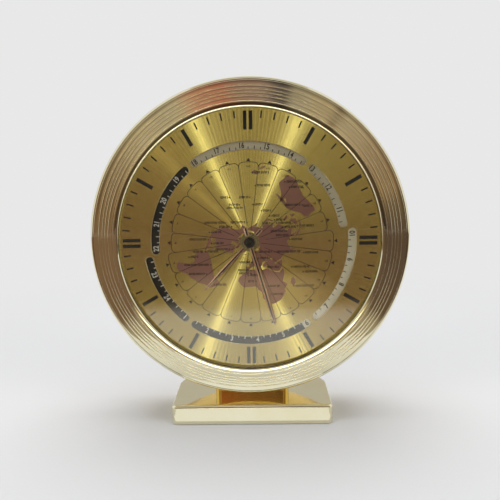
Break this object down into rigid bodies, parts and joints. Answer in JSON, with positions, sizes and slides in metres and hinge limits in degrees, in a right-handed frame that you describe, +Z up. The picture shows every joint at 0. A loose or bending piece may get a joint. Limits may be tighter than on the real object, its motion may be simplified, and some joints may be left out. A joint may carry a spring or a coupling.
{
  "type": "world time clock",
  "caption": "Round brass table clock on a block stand, with hour and minute hands and a turning day disc behind curved dial windows.",
  "frame": {"origin": "centre of the stand's footprint, on the underside of the pad", "axes": "+Z up, the dial faces -Y, +X to the right of a viewer in front"},
  "size_m": [0.1532, 0.044, 0.1671],
  "materials": {
    "polished_brass": "polished",
    "dial_gold": "sunray brushed",
    "steel": "satin",
    "gear_brass": "satin",
    "clear_glass": "polished",
    "black_rubber": "matte",
    "black_felt": "felt",
    "black_paint": "satin",
    "ring_grey": "satin",
    "black_moulding": "fine grain",
    "white_moulding": "smooth",
    "disc_print": "satin with black half",
    "copper_wire": "enamelled wire",
    "board_green": "solder mask",
    "cell_wrap": "printed sleeve, plain",
    "magnet_dark": "sintered"
  },
  "bodies": {
    "case": {"base": "polished_brass", "base_pad": "black_felt", "neck": "polished_brass", "base_screws": "steel", "case_screws": "steel", "bezel": "polished_brass", "glass": "clear_glass", "glass_gasket": "black_rubber", "dial_ring": "ring_grey", "dial": "dial_gold", "hour_bars": "black_paint", "drum": "polished_brass", "dial_spacers": "black_moulding", "carrier_plate": "steel", "back_cover": "black_moulding", "cover_screws": "steel", "front_plate": "black_moulding", "movement_housing": "black_moulding", "movement_screws": "steel", "train_plate": "gear_brass", "train_plate_screws": "steel", "idler_post": "steel", "stator": "steel", "coil_bobbin": "white_moulding", "coil_winding": "copper_wire", "circuit_board": "board_green", "chip": "black_moulding", "quartz_can": "steel", "battery_tray": "black_moulding", "battery": "cell_wrap", "plus_contact": "steel", "minus_contact": "steel"},
    "minute_group": {"minute_arbor": "steel", "minute_hand": "polished_brass", "hand_cap": "black_paint", "clutch_spring": "steel"},
    "hour_group": {"hour_wheel": "gear_brass", "hour_pinion": "gear_brass", "hour_hand": "polished_brass"},
    "minute_wheel_group": {"minute_wheel": "gear_brass"},
    "idler_group": {"idler_gear": "white_moulding"},
    "world_group": {"world_wheel": "white_moulding", "world_disc": "disc_print"},
    "setting_group": {"set_arbor": "steel", "set_pinion": "gear_brass", "set_knob": "black_moulding"},
    "centre_wheel_group": {"centre_wheel": "gear_brass"},
    "third_wheel_group": {"third_wheel": "gear_brass"},
    "fourth_wheel_group": {"fourth_wheel": "gear_brass"},
    "fifth_wheel_group": {"fifth_wheel": "white_moulding"},
    "rotor_group": {"rotor": "white_moulding", "rotor_magnet": "magnet_dark"},
    "door_group": {"battery_door": "black_moulding"}
  },
  "joints": [
    {"name": "minute_hand_turn", "type": "hinge", "parent": "case", "child": "minute_group", "pos_m": [0, -0.013, 0.0905], "axis": [0, 1, 0], "continuous": true},
    {"name": "minute_wheel_turn", "type": "hinge", "parent": "case", "child": "minute_wheel_group", "pos_m": [0.012, -0.013, 0.0905], "axis": [0, 1, 0], "continuous": true},
    {"name": "hour_hand_turn", "type": "hinge", "parent": "case", "child": "hour_group", "pos_m": [0, -0.013, 0.0905], "axis": [0, 1, 0], "continuous": true},
    {"name": "idler_turn", "type": "hinge", "parent": "case", "child": "idler_group", "pos_m": [-0.014, -0.013, 0.0905], "axis": [0, 1, 0], "continuous": true},
    {"name": "world_disc_turn", "type": "hinge", "parent": "case", "child": "world_group", "pos_m": [0, -0.013, 0.0905], "axis": [0, 1, 0], "continuous": true},
    {"name": "setting_knob_turn", "type": "hinge", "parent": "case", "child": "setting_group", "pos_m": [0.0201, -0.013, 0.08085], "axis": [0, 1, 0], "continuous": true},
    {"name": "fourth_wheel_turn", "type": "hinge", "parent": "case", "child": "fourth_wheel_group", "pos_m": [-0.00469, -0.013, 0.1039], "axis": [0, 1, 0], "continuous": true},
    {"name": "third_wheel_turn", "type": "hinge", "parent": "case", "child": "third_wheel_group", "pos_m": [-0.00979, -0.013, 0.09506], "axis": [0, 1, 0], "continuous": true},
    {"name": "centre_wheel_turn", "type": "hinge", "parent": "case", "child": "centre_wheel_group", "pos_m": [0, -0.013, 0.0905], "axis": [0, 1, 0], "continuous": true},
    {"name": "fifth_wheel_turn", "type": "hinge", "parent": "case", "child": "fifth_wheel_group", "pos_m": [0.00368, -0.013, 0.10317], "axis": [0, 1, 0], "continuous": true},
    {"name": "rotor_turn", "type": "hinge", "parent": "case", "child": "rotor_group", "pos_m": [0.01045, -0.013, 0.1007], "axis": [0, 1, 0], "continuous": true},
    {"name": "battery_door_slide", "type": "slide", "parent": "case", "child": "door_group", "axis": [0, 0, -1], "range_m": [0, 0.016]}
  ],
  "couplings": [
    {"joint": "minute_wheel_turn", "follows": "minute_hand_turn", "ratio": -0.33333},
    {"joint": "hour_hand_turn", "follows": "minute_hand_turn", "ratio": 0.083333},
    {"joint": "idler_turn", "follows": "minute_hand_turn", "ratio": -0.055556},
    {"joint": "world_disc_turn", "follows": "minute_hand_turn", "ratio": 0.041667},
    {"joint": "setting_knob_turn", "follows": "minute_hand_turn", "ratio": 0.83333},
    {"joint": "third_wheel_turn", "follows": "fourth_wheel_turn", "ratio": -0.13333},
    {"joint": "centre_wheel_turn", "follows": "fourth_wheel_turn", "ratio": 0.016667},
    {"joint": "fifth_wheel_turn", "follows": "fourth_wheel_turn", "ratio": -6},
    {"joint": "rotor_turn", "follows": "fourth_wheel_turn", "ratio": 30}
  ]
}
